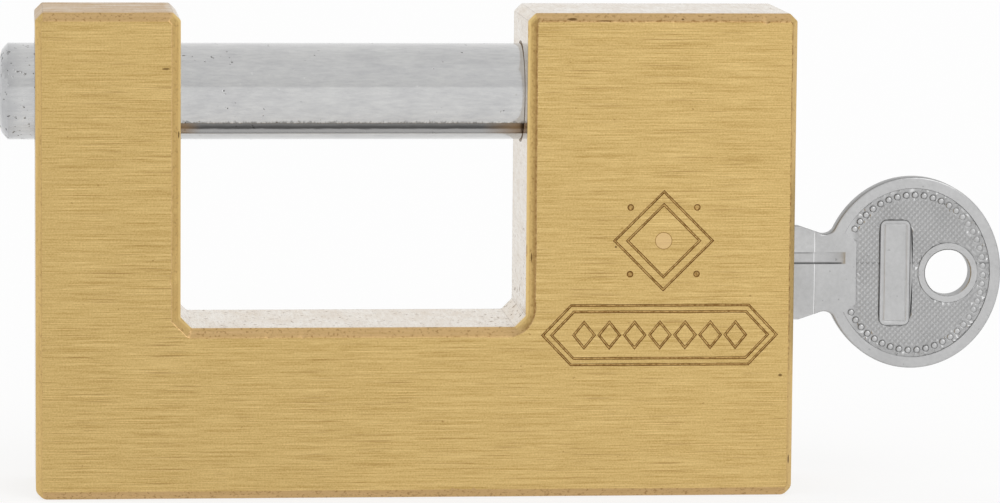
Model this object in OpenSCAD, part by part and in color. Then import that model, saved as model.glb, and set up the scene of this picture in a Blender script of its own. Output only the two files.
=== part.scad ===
// Straight-bolt padlock for roller shutters. A brass block with a U notch carries a steel bolt that slides
// across the notch. A pin tumbler plug in the right end turns an involute cam, which lifts a plunger into
// the bolt. X runs to the right along the bolt, Y to the back and Z up. The origin is the middle of the base.

/* [Body] */
// Width of the brass body
body_w = 94; // [90:0.5:102]
// Height of the body
body_h = 60.2; // [59:0.1:66]
// Thickness of the body, front to back
body_d = 20; // [18:0.5:26]
// Width of the left leg
left_leg_w = 17.8; // [17:0.1:22]
// Width of the right leg, which holds the plug
right_leg_w = 33.5; // [33:0.1:38]
// Height of the notch's floor above the base
notch_floor_z = 21.25; // [14:0.25:26]
// Cut at the outer corners of the body and at the tips of its legs
corner_cut = 0.95; // [0.3:0.05:2]
// Cut in the two inner corners of the notch
notch_corner_cut = 1.35; // [0.3:0.05:3]
// Depth of the edge chamfers into the front and back faces
edge_cut_depth = 0.9; // [0.2:0.05:1.5]
// Width of the edge chamfers on the two ends of the body
end_edge_cut = 0.7; // [0.2:0.05:1.5]
// Width of the edge chamfers along the top and the base
flat_edge_cut = 0.95; // [0.2:0.05:1.5]
// Width of the edge chamfers round the notch
notch_edge_cut = 1.05; // [0.2:0.05:1.5]

/* [Bolt] */
// Diameter of the bolt
bolt_d = 12; // [11:0.1:13]
// Height of the bolt's axis above the base
bolt_z = 49.8; // [49:0.1:51]
// How far the bolt stands out of the left end when it is home
bolt_proud = 4.3; // [2:0.1:10]
// Length of the rounded bevel on both ends of the bolt
bolt_bevel = 0.97; // [0.3:0.01:2]
// Diameter of the bolt's flat end face
bolt_face_d = 9.2; // [8:0.1:10.5]
// Radial running clearance of the bolt in its bore
bolt_play = 0.09; // [0.05:0.01:0.1]
// Steel beyond the locking notch, up to the bolt's inner end
bolt_nose = 3.6; // [2.5:0.1:6]
// Gap between the bolt's inner end and the bottom of its bore
bolt_end_gap = 1; // [0.5:0.1:3]
// How far the drawn bolt's end lies inside the left leg
open_inset = 0.8; // [0.3:0.1:2]

/* [Stop groove] */
// Height of the long groove's opening
groove_w = 1.4; // [1.3:0.05:1.6]
// Height of the groove's middle above the bolt's lowest line
groove_rise = 1.7; // [1.5:0.05:2]
// Depth of the groove, from the bolt's front line
groove_depth = 3.4; // [3:0.1:3.8]
// Diameter of the stop pin
stop_pin_d = 1.2; // [1:0.05:1.25]
// Distance of the stop pin from the left end of the body
stop_pin_inset = 6.5; // [4:0.1:6.8]
// Clearance between the stop pin and the ends and floor of the groove
stop_pin_gap = 0.08; // [0.05:0.01:0.2]

/* [Plug] */
// Diameter of the turning plug
plug_d = 12; // [11.6:0.1:12.6]
// Length of the plug
plug_l = 19.2; // [19:0.1:20]
// Height of the plug's axis above the base
plug_z = 26.9; // [26:0.1:28]
// Radial running clearance of the plug in the body
plug_play = 0.06; // [0.03:0.01:0.1]
// How far the plug's face lies inside the end of the body
plug_recess = 0.2; // [0.1:0.1:1]
// Countersink round the mouths of the two end bores
mouth_cut = 0.4; // [0.1:0.1:0.8]
// Diameter of the pin that holds the plug
retainer_d = 2; // [1.6:0.1:2.2]
// Depth of that pin's bite into the plug's surface
retainer_bite = 1.85; // [1.5:0.05:1.9]
// Distance of that pin from the end of the body
retainer_inset = 16.5; // [16.4:0.1:16.8]
// Clearance between that pin and its groove in the plug
retainer_gap = 0.05; // [0.03:0.01:0.1]

/* [Pins] */
// Number of pin stacks
pin_count = 4; // [2:1:4]
// Distance of the first pin from the plug's face
first_pin = 3.3; // [3.2:0.05:3.4]
// Distance from pin to pin
pin_pitch = 3.2; // [3:0.05:3.2]
// Diameter of the pins
pin_d = 2.5; // [2.2:0.05:2.6]
// Radial clearance of the pins in their chambers
pin_play = 0.08; // [0.03:0.01:0.12]
// Height of the pointed tip of a key pin
pin_tip_h = 0.75; // [0.5:0.05:1]
// Diameter of the small flat on a key pin's tip
pin_tip_d = 0.8; // [0.4:0.05:1]
// Length of a driver pin
driver_l = 5; // [4:0.1:6]
// Wire of a pin spring
pin_wire = 0.35; // [0.25:0.05:0.45]
// Length of the brass plugs that close the pin drillings
chamber_plug_l = 7; // [3:0.1:8]

/* [Key] */
// Half width of the oval bow, along the key
bow_rx = 11.25; // [10:0.05:13]
// Half height of the oval bow
bow_rz = 12.1; // [11:0.05:14]
// Distance from the body's end to the bow's middle
bow_reach = 16.3; // [15.5:0.1:17]
// Thickness of the bow
bow_t = 2.3; // [2.2:0.05:3]
// Diameter of the hole for a key ring
ring_hole_d = 5.8; // [4:0.1:6.4]
// Distance of that hole from the bow's middle
ring_hole_offset = 4.5; // [4:0.1:5.5]
// Diameter of the raised ring round the hole
hole_ring_d = 7.5; // [7:0.1:9]
// Width of the raised rim of the bow
rim_w = 1.36; // [0.8:0.02:2]
// Depth of the sunk field inside the rim
field_depth = 0.16; // [0.1:0.02:0.3]
// Distance from the bow's middle to the field's straight edge beside the neck
field_reach = 7.25; // [6:0.05:8]
// Half width of the neck at its narrowest
neck_half = 4.87; // [4:0.01:5.2]
// Radius where the neck runs into the bow
neck_r = 1.5; // [1:0.05:2]
// Distance from the body's end to the narrowest neck
neck_reach = 5.05; // [4.8:0.05:5.4]
// Half width of the shoulder that stops against the plug
shoulder_half = 5.88; // [5.3:0.02:5.9]
// Distance from the body's end to the step down to the blade's thickness
step_reach = 3.8; // [3:0.1:4.4]
// Distance from the body's end to the run-out of the flank grooves
groove_reach = 7.7; // [6:0.1:8.5]
// Thickness of the blade
blade_t = 2.1; // [1.9:0.05:2.2]
// Length of the blade, from the plug's face to the tip
blade_l = 14.9; // [14.8:0.05:15]
// Height of the blade's uncut top above the plug's axis
blade_top = 3.9; // [3.8:0.05:4]
// Depth of the blade's back below the plug's axis
blade_back = 4; // [3.6:0.05:4.05]
// Clearance of the blade in its keyway
key_play = 0.1; // [0.05:0.01:0.15]
// Depth of the first cut below the blade's top
first_cut = 0.7; // [0.5:0.05:0.8]
// Extra depth from each cut to the next one
cut_step = 0.48; // [0.3:0.02:0.5]
// Half length of the flat at each cut
cut_flat = 0.6; // [0.4:0.05:0.6]
// Clearance between a cut and the pin tip over it
pin_gap = 0.18; // [0.18:0.01:0.25]
// Depth of the flank grooves
ward_depth = 0.45; // [0.2:0.05:0.5]

/* [Cam and plunger] */
// Lift of the plunger over half a turn of the plug
cam_lift = 3.6; // [3:0.1:3.7]
// Height of the cam above its axis when the plunger is down
cam_low = 2; // [1.8:0.05:2.1]
// Thickness of the cam
cam_t = 2.6; // [2.4:0.1:2.8]
// Clearance between the cam and the plunger's foot
cam_gap = 0.04; // [0.02:0.01:0.1]
// Diameter of the cam screw's shank
cam_screw_d = 2; // [1.6:0.1:2.2]
// Length of the cam screw's shank inside the plug
cam_screw_l = 3.4; // [2.6:0.1:3.6]
// Thickness of the plunger's foot
foot_t = 2.3; // [2:0.1:2.4]
// Diameter of the plunger's collar
collar_d = 6.9; // [6.6:0.1:7.2]
// Thickness of the collar
collar_t = 1.6; // [1:0.1:2]
// Diameter of the plunger's stem, which locks the bolt
stem_d = 5; // [4.6:0.1:5]
// Radial clearance of the stem and the collar in the body
plunger_play = 0.1; // [0.05:0.01:0.15]
// Length of the stem's guide below the bolt
guide_l = 2.4; // [2:0.1:3]
// Gap between the stem's end and the bolt's bore when the plunger is down
stem_gap = 0.3; // [0.2:0.05:0.5]
// Clearance of the stem in the bolt's locking notch, on each side
notch_play = 0.3; // [0.2:0.05:0.5]
// Wire of the plunger spring
plunger_wire = 0.5; // [0.4:0.05:0.6]
// Length of the brass plug under the plunger
bore_plug_l = 8; // [4:0.1:12]

/* [Hidden] */
$fn = 96;

BRASS = [0.80, 0.66, 0.38];
PLATED = [0.78, 0.79, 0.80];
NICKEL = [0.72, 0.72, 0.72];
STEEL = [0.55, 0.56, 0.58];
past = 0.5;

left_x = -body_w / 2;
right_x = body_w / 2;
gap_left_x = left_x + left_leg_w;
gap_right_x = right_x - right_leg_w;

plug_r = plug_d / 2;
plug_bore_r = plug_r + plug_play;
plug_face_x = right_x - plug_recess;
plug_tail_x = plug_face_x - plug_l;
cam_gap_x = 0.05;
cam_x = plug_tail_x - cam_gap_x - cam_t;
screw_head_h = 1;
plug_bore_end_x = cam_x - screw_head_h - 0.6;
retainer_r = retainer_d / 2;
retainer_x = right_x - retainer_inset;
retainer_z = plug_z + plug_r - retainer_bite + retainer_r;
groove_r = plug_r - retainer_bite - retainer_gap;

cam_pitch = cam_lift / PI;
plunger_x = cam_x + cam_t / 2;
collar_r = collar_d / 2;
collar_bore_r = collar_r + plunger_play;
stem_r = stem_d / 2;
collar_z = plug_z + plug_bore_r + 0.3;

bolt_r = bolt_d / 2;
bolt_bore_r = bolt_r + bolt_play;
notch_x = plunger_x - stem_r - notch_play;
notch_w = stem_d + 2 * notch_play;
stem_top_z = bolt_z - bolt_bore_r - stem_gap;
notch_top_z = stem_top_z + cam_lift + 0.4;
bolt_end_x = notch_x + notch_w + bolt_nose;
bolt_start_x = left_x - bolt_proud;
bolt_travel = bolt_end_x - gap_left_x + open_inset;
spring_top_z = bolt_z - bolt_bore_r - guide_l;

stop_pin_x = left_x + stop_pin_inset;
stop_pin_z = bolt_z - bolt_r + groove_rise;
groove_floor_y = -bolt_r + groove_depth;
groove_start_x = stop_pin_x - stop_pin_d / 2 - stop_pin_gap;
groove_l = bolt_travel + stop_pin_d + 2 * stop_pin_gap;

pin_r = pin_d / 2;
chamber_r = pin_r + pin_play;
key_pin_top = plug_r - 0.14;
driver_top_z = plug_z - plug_r - 0.05;

bow_x = right_x + bow_reach;
bow_z = plug_z;
key_travel = blade_l + 3.1;
blade_tip_x = plug_face_x - blade_l;
shoulder_x = plug_face_x + 0.05;
step_x = right_x + step_reach;
ward_end_x = right_x + groove_reach;
front_ward_z = 1.9;
front_ward_w = 1.52;
back_ward_z = -1.5;
back_ward_w = 1.3;

function pin_x(i) = plug_face_x - first_pin - i * pin_pitch;
function cut_z(i) = blade_top - first_cut - i * cut_step;
function ellipse(rx, rz, steps) =
    [for (i = [0:steps - 1]) [rx * cos(360 * i / steps), rz * sin(360 * i / steps)]];

// Distance along a line at which it meets the next one, for the mitred inner outline of the chamfers
function edge_dir(a, b) = (b - a) / norm(b - a);
function inward(a, b) = [-edge_dir(a, b)[1], edge_dir(a, b)[0]];
function cross2(a, b) = a[0] * b[1] - a[1] * b[0];
function mitre(a, b, c, cut_ab, cut_bc) =
    let (p = b + cut_ab * inward(a, b), q = b + cut_bc * inward(b, c), u = edge_dir(a, b), v = edge_dir(b, c))
    p + u * cross2(q - p, v) / cross2(u, v);
function inset(pts, cuts) = [for (i = [0:len(pts) - 1])
    let (n = len(pts), j = (i + n - 1) % n)
    mitre(pts[j], pts[i], pts[(i + 1) % n], cuts[j], cuts[i])];

// A coil spring's centre line has one closed turn at each end and open turns between them
closed_turns = 1;
function coil_rise(t, turns, wire, free) =
    t < closed_turns ? t * wire :
    t > turns - closed_turns ? free - (turns - t) * wire :
    closed_turns * wire + (t - closed_turns) / (turns - 2 * closed_turns) * (free - 2 * closed_turns * wire);
function coil_point(t, r, turns, wire, free) =
    [r * cos(360 * t), r * sin(360 * t), coil_rise(t, turns, wire, free)];
function coil_ring(t, r, turns, wire, free, sides) =
    let (c = coil_point(t, r, turns, wire, free), out = [cos(360 * t), sin(360 * t), 0])
    [for (k = [0:sides - 1]) c + wire / 2 * (cos(360 * k / sides) * out + sin(360 * k / sides) * [0, 0, 1])];

module along_x(length) {
    rotate([90, 0, 90]) linear_extrude(length) children();
}

module along_y(y, depth) {
    translate([0, y + depth, 0]) rotate([90, 0, 0]) linear_extrude(depth) children();
}

module x_rod(x0, x1, r, z) {
    translate([x0, 0, z]) rotate([0, 90, 0]) cylinder(h = x1 - x0, r = r);
}

module y_rod(x, y0, y1, r, z) {
    translate([x, y1, z]) rotate([90, 0, 0]) cylinder(h = y1 - y0, r = r);
}

module z_rod(x, z0, z1, r) {
    translate([x, 0, z0]) cylinder(h = z1 - z0, r = r);
}

// A plate with chamfered edges. Its face is given as convex pieces, each a list of the outline's points.
module chamfered_plate(pts, cuts, pieces, depth, cut_depth) {
    n = len(pts);
    inner = inset(pts, cuts);
    ys = [-depth / 2, -depth / 2 + cut_depth, depth / 2 - cut_depth, depth / 2];
    rings = [inner, pts, pts, inner];
    points = [for (k = [0:3]) for (p = rings[k]) [p[0], ys[k], p[1]]];
    walls = [for (k = [0:2]) for (i = [0:n - 1])
        [k * n + i, k * n + (i + 1) % n, (k + 1) * n + (i + 1) % n, (k + 1) * n + i]];
    front = [for (piece = pieces) [for (i = [len(piece) - 1:-1:0]) piece[i]]];
    back = [for (piece = pieces) [for (i = piece) 3 * n + i]];
    polyhedron(points = points, faces = concat(front, walls, back), convexity = 6);
}

module coil_spring(r, wire, length, turns, steps, sides) {
    rings = turns * steps;
    free = length - wire;
    points = [for (i = [0:rings]) each coil_ring(i / steps, r, turns, wire, free, sides)];
    walls = [for (i = [0:rings - 1]) for (k = [0:sides - 1])
        [i * sides + k, i * sides + (k + 1) % sides, (i + 1) * sides + (k + 1) % sides, (i + 1) * sides + k]];
    first = [for (k = [sides - 1:-1:0]) k];
    last = [for (k = [0:sides - 1]) rings * sides + k];
    translate([0, 0, wire / 2])
        polyhedron(points = points, faces = concat([first], walls, [last]), convexity = 8);
}

// The U-shaped outline, anticlockwise from the base's left corner, with a cut at every corner
module body_block() {
    c = corner_cut;
    k = notch_corner_cut;
    outline = [
        [left_x + c, 0], [right_x - c, 0], [right_x, c],
        [right_x, body_h - c], [right_x - c, body_h], [gap_right_x + c, body_h],
        [gap_right_x, body_h - c], [gap_right_x, notch_floor_z + k], [gap_right_x - k, notch_floor_z],
        [gap_left_x + k, notch_floor_z], [gap_left_x, notch_floor_z + k], [gap_left_x, body_h - c],
        [gap_left_x - c, body_h], [left_x + c, body_h], [left_x, body_h - c], [left_x, c]];
    e = end_edge_cut;
    f = flat_edge_cut;
    n = notch_edge_cut;
    cuts = [f, e, e, e, f, f, n, n, n, n, n, n, f, e, e, e];
    pieces = [[2, 3, 4, 5, 6, 7], [10, 11, 12, 13, 14, 15], [1, 2, 7, 8], [0, 1, 8, 9], [15, 0, 9, 10]];
    chamfered_plate(outline, cuts, pieces, body_d, edge_cut_depth);
}

module countersink(x, r, side) {
    translate([x, 0, 0]) rotate([0, 90 * side, 0])
        translate([0, 0, -past]) cylinder(h = mouth_cut + past, r1 = r + mouth_cut + past, r2 = r);
}

module body() {
    color(BRASS) difference() {
        body_block();
        x_rod(left_x - past, bolt_end_x + bolt_end_gap, bolt_bore_r, bolt_z);
        translate([0, 0, bolt_z]) countersink(left_x, bolt_bore_r, 1);
        x_rod(plug_bore_end_x, right_x + past, plug_bore_r, plug_z);
        translate([0, 0, plug_z]) countersink(right_x, plug_bore_r, -1);
        y_rod(retainer_x, -body_d / 2 - past, body_d / 2 + past, retainer_r, retainer_z);
        y_rod(stop_pin_x, -body_d / 2 - past, groove_floor_y, stop_pin_d / 2, stop_pin_z);
        z_rod(plunger_x, -past, spring_top_z, collar_bore_r);
        z_rod(plunger_x, spring_top_z - past, bolt_z, stem_r + plunger_play);
        for (i = [0:pin_count - 1]) z_rod(pin_x(i), -past, plug_z, chamber_r);
    }
}

// Half of the bolt's long section. Each end turns from its flat face into the side in three short cones.
function bevel_point(along, out) = [bolt_face_d / 2 + out * (bolt_r - bolt_face_d / 2), along * bolt_bevel];
function bolt_profile() =
    let (l = bolt_end_x - bolt_start_x,
        bevel = [bevel_point(0, 0), bevel_point(0.25, 0.4), bevel_point(0.62, 0.73), bevel_point(1, 1)])
    concat([[0, 0]], bevel, [for (i = [3:-1:0]) [bevel[i][0], l - bevel[i][1]]], [[0, l]]);

module bolt() {
    color(PLATED) difference() {
        translate([bolt_start_x, 0, bolt_z]) rotate([0, 90, 0]) rotate_extrude() polygon(bolt_profile());
        translate([groove_start_x, -bolt_r - past, stop_pin_z - groove_w / 2])
            cube([groove_l, groove_depth + past, groove_w]);
        translate([notch_x, -bolt_r - past, bolt_z - bolt_r - past])
            cube([notch_w, bolt_d + 2 * past, notch_top_z - bolt_z + bolt_r + past]);
    }
}

module bolt_stop_pin() {
    color(BRASS)
        y_rod(stop_pin_x, -body_d / 2, groove_floor_y - stop_pin_gap, stop_pin_d / 2, stop_pin_z);
}

module cylinder_pin() {
    color(BRASS)
        y_rod(retainer_x, -body_d / 2, body_d / 2, retainer_r, retainer_z);
}

// The retaining groove runs half way round, so its solid part is the plug's own end stop
module retaining_groove() {
    w = retainer_d + 2 * retainer_gap;
    difference() {
        x_rod(retainer_x - w / 2, retainer_x + w / 2, plug_r + past, plug_z);
        x_rod(retainer_x - w / 2 - past, retainer_x + w / 2 + past, groove_r, plug_z);
        translate([retainer_x - w / 2 - past, -plug_r - 2 * past, plug_z - groove_r])
            cube([w + 2 * past, plug_r + 2 * past, 2 * groove_r]);
    }
}

module ward(x0, x1, y0, y1, z, w) {
    translate([x0, y0, plug_z + z - w / 2]) cube([x1 - x0, y1 - y0, w]);
}

module keyway() {
    half = blade_t / 2 + key_play;
    x0 = blade_tip_x - 0.2;
    x1 = plug_face_x + past;
    difference() {
        translate([x0, -half, plug_z - blade_back - key_play])
            cube([x1 - x0, 2 * half, blade_back + blade_top + 2 * key_play]);
        ward(x0 - past, x1 + past, -half - past, -half + ward_depth, front_ward_z, front_ward_w - 2 * key_play);
        ward(x0 - past, x1 + past, half - ward_depth, half + past, back_ward_z, back_ward_w - 2 * key_play);
    }
}

module plug() {
    chamber_floor = plug_z + cut_z(pin_count - 1) - cut_step / pin_pitch * key_travel - 0.3;
    color(BRASS) difference() {
        x_rod(plug_tail_x, plug_face_x, plug_r, plug_z);
        retaining_groove();
        keyway();
        for (i = [0:pin_count - 1]) z_rod(pin_x(i), chamber_floor, plug_z + plug_r + past, chamber_r);
        x_rod(plug_tail_x - past, plug_tail_x + cam_screw_l + 0.2, cam_screw_d / 2, plug_z);
    }
}

// An involute about the axis: half a turn raises a flat foot by the same amount for every degree
module cam() {
    steps = 40;
    profile = [for (i = [0:steps])
        let (u = 180 * i / steps, h = cam_low + cam_lift * i / steps)
        [h * sin(u) + cam_pitch * cos(u), h * cos(u) - cam_pitch * sin(u)]];
    color(STEEL) difference() {
        union() {
            translate([cam_x, 0, plug_z]) along_x(cam_t) polygon(profile);
            x_rod(cam_x, cam_x + cam_t, cam_low - 0.08, plug_z);
        }
        x_rod(cam_x - past, cam_x + cam_t + past, cam_screw_d / 2, plug_z);
    }
}

module cam_screw() {
    color(STEEL) difference() {
        union() {
            x_rod(cam_x - screw_head_h / 2, plug_tail_x + cam_screw_l, cam_screw_d / 2, plug_z);
            x_rod(cam_x - screw_head_h, cam_x, cam_screw_d / 2 + 0.75, plug_z);
        }
        translate([cam_x - screw_head_h - past, -cam_screw_d, plug_z - 0.25])
            cube([past + 0.5, 2 * cam_screw_d, 0.5]);
    }
}

module plunger() {
    foot_z = plug_z + cam_low + cam_gap;
    color(STEEL) union() {
        z_rod(plunger_x, collar_z, collar_z + collar_t, collar_r);
        z_rod(plunger_x, collar_z, stem_top_z, stem_r);
        intersection() {
            z_rod(plunger_x, foot_z, collar_z + collar_t, collar_r);
            translate([plunger_x - foot_t / 2, -collar_r - past, foot_z])
                cube([foot_t, collar_d + 2 * past, collar_z + collar_t / 2 - foot_z]);
        }
    }
}

module plunger_spring() {
    z0 = collar_z + collar_t;
    r = (stem_r + plunger_play + collar_bore_r) / 2;
    color(STEEL) translate([plunger_x, 0, z0])
        coil_spring(r, plunger_wire, spring_top_z - z0, 4.5, 16, 8);
}

module plunger_bore_plug() {
    color(BRASS) z_rod(plunger_x, 0, bore_plug_l, collar_bore_r);
}

module bow_outline() {
    translate([bow_x, bow_z]) polygon(ellipse(bow_rx, bow_rz, 120));
}

// Bow, neck and shoulder in side view. The neck is cut in from both edges of the shoulder.
module head_outline() {
    neck_x = right_x + neck_reach;
    difference() {
        union() {
            bow_outline();
            translate([shoulder_x, bow_z - shoulder_half])
                square([bow_x - shoulder_x - 0.7 * bow_rx, 2 * shoulder_half]);
        }
        translate([neck_x, bow_z]) neck_cut();
        translate([neck_x, bow_z]) mirror([0, 1]) neck_cut();
    }
}

module neck_cut() {
    y = neck_half + neck_r;
    slope_l = 3.2;
    translate([0, y]) circle(r = neck_r);
    polygon([[-slope_l, shoulder_half], [-0.35 * neck_r, y - 0.93 * neck_r], [0, y],
        [0, y + past], [-slope_l, y + past]]);
}

module blade_outline() {
    top = plug_z + blade_top;
    back = plug_z - blade_back;
    cuts = [for (i = [0:pin_count - 1]) each [
        [pin_x(i) + cut_flat, plug_z + cut_z(i)],
        [pin_x(i) - cut_flat, plug_z + cut_z(i)]]];
    tip = [[blade_tip_x, plug_z - 0.6], [blade_tip_x, back + 1.3], [blade_tip_x + 1.3, back]];
    polygon(concat([[step_x, back], [step_x, top], [pin_x(0) + cut_flat + 1, top]], cuts, tip));
}

module field_outline() {
    difference() {
        intersection() {
            translate([bow_x, bow_z]) polygon(ellipse(bow_rx - rim_w, bow_rz - rim_w, 120));
            translate([bow_x - field_reach, bow_z - bow_rz]) square([2 * bow_rx, 2 * bow_rz]);
        }
        translate([bow_x + ring_hole_offset, bow_z]) circle(d = hole_ring_d);
    }
}

module key() {
    color(NICKEL) difference() {
        union() {
            difference() {
                along_y(-bow_t / 2, bow_t) head_outline();
                for (y = [-bow_t / 2 - past, blade_t / 2])
                    translate([shoulder_x - past, y, bow_z - bow_rz])
                        cube([step_x - shoulder_x + past, (bow_t - blade_t) / 2 + past, 2 * bow_rz]);
            }
            along_y(-blade_t / 2, blade_t) blade_outline();
        }
        for (y = [-bow_t / 2 - past, bow_t / 2 - field_depth]) along_y(y, field_depth + past) field_outline();
        y_rod(bow_x + ring_hole_offset, -bow_t, bow_t, ring_hole_d / 2, bow_z);
        ward(blade_tip_x - past, ward_end_x, -bow_t, -blade_t / 2 + ward_depth, front_ward_z, front_ward_w);
        ward(blade_tip_x - past, ward_end_x, blade_t / 2 - ward_depth, bow_t, back_ward_z, back_ward_w);
    }
}

module key_pin(i) {
    low = plug_z + cut_z(i) + pin_gap;
    color(BRASS) translate([pin_x(i), 0, low]) union() {
        cylinder(h = pin_tip_h, r1 = pin_tip_d / 2, r2 = pin_r);
        translate([0, 0, pin_tip_h]) cylinder(h = plug_z + key_pin_top - low - pin_tip_h, r = pin_r);
    }
}

module driver_pin(i) {
    color(STEEL) z_rod(pin_x(i), driver_top_z - driver_l, driver_top_z, pin_r);
}

module pin_spring(i) {
    color(STEEL) translate([pin_x(i), 0, chamber_plug_l])
        coil_spring(pin_r - pin_wire / 2 - 0.05, pin_wire, driver_top_z - driver_l - chamber_plug_l, 8, 12, 6);
}

module chamber_plug(i) {
    color(BRASS) z_rod(pin_x(i), 0, chamber_plug_l, chamber_r);
}

body();
bolt();
bolt_stop_pin();
plug();
cylinder_pin();
cam();
cam_screw();
plunger();
plunger_spring();
plunger_bore_plug();
key();
key_pin(0);  // key_pin_1
key_pin(1);  // key_pin_2
key_pin(2);  // key_pin_3
key_pin(3);  // key_pin_4
driver_pin(0);  // driver_pin_1
driver_pin(1);  // driver_pin_2
driver_pin(2);  // driver_pin_3
driver_pin(3);  // driver_pin_4
pin_spring(0);  // pin_spring_1
pin_spring(1);  // pin_spring_2
pin_spring(2);  // pin_spring_3
pin_spring(3);  // pin_spring_4
chamber_plug(0);  // chamber_plug_1
chamber_plug(1);  // chamber_plug_2
chamber_plug(2);  // chamber_plug_3
chamber_plug(3);  // chamber_plug_4
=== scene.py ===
import math
import random

import bmesh
import bpy
from mathutils import Matrix, Vector
from mathutils.geometry import delaunay_2d_cdt


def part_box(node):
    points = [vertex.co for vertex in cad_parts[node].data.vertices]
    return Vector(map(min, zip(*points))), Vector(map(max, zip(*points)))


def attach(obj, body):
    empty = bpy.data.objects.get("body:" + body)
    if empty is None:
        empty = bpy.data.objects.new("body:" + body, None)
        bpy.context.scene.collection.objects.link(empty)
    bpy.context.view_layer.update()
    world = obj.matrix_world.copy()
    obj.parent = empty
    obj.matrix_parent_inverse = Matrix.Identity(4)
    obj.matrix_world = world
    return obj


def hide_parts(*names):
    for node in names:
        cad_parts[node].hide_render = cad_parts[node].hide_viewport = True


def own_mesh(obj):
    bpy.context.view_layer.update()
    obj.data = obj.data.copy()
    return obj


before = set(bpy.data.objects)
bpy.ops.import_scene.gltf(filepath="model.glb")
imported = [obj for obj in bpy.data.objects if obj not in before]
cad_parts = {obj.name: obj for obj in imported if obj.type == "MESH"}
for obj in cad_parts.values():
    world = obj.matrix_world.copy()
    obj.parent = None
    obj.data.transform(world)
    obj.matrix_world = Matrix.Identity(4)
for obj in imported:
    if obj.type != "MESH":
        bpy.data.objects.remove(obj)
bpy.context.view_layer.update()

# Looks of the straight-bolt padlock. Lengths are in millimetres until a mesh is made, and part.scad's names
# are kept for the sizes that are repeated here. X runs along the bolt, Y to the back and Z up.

MM = 0.001

# Camera, fitted to the photograph's edges
CAMERA_PLACE = (-0.050679, -0.652793, 0.104837)
CAMERA_LENS = 189.45
CAMERA_PITCH = -6.573
CAMERA_YAW = -5.3706
CAMERA_ROLL = 0.1561

# The studio's strength: low in front, up to the height of the table's end, then above that and overhead, and
# behind the object. Then what the softbox at the camera's right adds between two directions, and how much of the
# floor is backdrop.
WORLD_LOW = 0.96
WORLD_FRONT = 0.80
WORLD_OVERHEAD = 0.88
WORLD_BACK = 1.0
TABLE_END = (0.235, 0.255)
SOFTBOX = 1.5
SOFTBOX_LEFT = (0.11, 0.22)
SOFTBOX_RIGHT = (0.60, 0.44)
BACKDROP_SHARE = 0.75

# Colours as they are to be seen, from 0 to 255
BRASS_DARK = (176, 145, 84)
BRASS_LIGHT = (224, 195, 134)
BRASS = (222, 192, 130)
BRASS_SCRATCH = (140, 106, 58)
BRASS_EDGE_HIGHLIGHT = (238, 208, 142)
BRASS_TAN = (216, 182, 134)
BRASS_GOLD = (229, 196, 131)
BRASS_BROWN = (138, 102, 56)
WALL_GRAZING_SHEEN = (215, 205, 189)
WALL_TAN = (180, 147, 100)
TOP_TAN = (187, 149, 92)
WALL_GOLD = (218, 186, 122)
WALL_SHADE = (170, 136, 78)
WALL_PIT = (112, 86, 60)
PIN_DISC = (222, 192, 136)
PIN_SHADE = (200, 167, 120)
CUT_BROWN = (142, 107, 57)
CUT_LIGHT = (200, 167, 108)
MARK_BROWN = (96, 68, 34)
BORE_DARK = (84, 62, 34)
BORE_BROWN = (134, 104, 60)
PLATED_DARK = (189, 189, 190)
PLATED = (208, 208, 207)
PLATED_PIT = (92, 90, 88)
PLATED_TIP = (150, 152, 156)
GROOVE_DEEP_SHADE = (66, 65, 64)
GROOVE_TOP_SHADE = (112, 111, 110)
GROOVE_LIP_SHADE = (156, 155, 154)
GROOVE_BROWN = (138, 104, 56)
NICKEL = (188, 188, 188)
NICKEL_SHADE_AND_SPECK = (132, 132, 132)
NICKEL_EDGE_SHADE = (132, 132, 131)
WARD_SHADOW = (84, 84, 84)
STEEL = (166, 168, 171)
STEEL_DARK = (118, 120, 124)
SPRING = (170, 172, 175)
SPRING_DARK = (112, 114, 118)
FLOOR = (251, 251, 251)


# ---------- helpers for node materials

def linear(colour):
    """An sRGB colour from 0 to 255 as linear RGBA."""
    parts = [c / 255 for c in colour]
    return tuple(c / 12.92 if c <= 0.04045 else ((c + 0.055) / 1.055) ** 2.4 for c in parts) + (1.0,)


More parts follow.
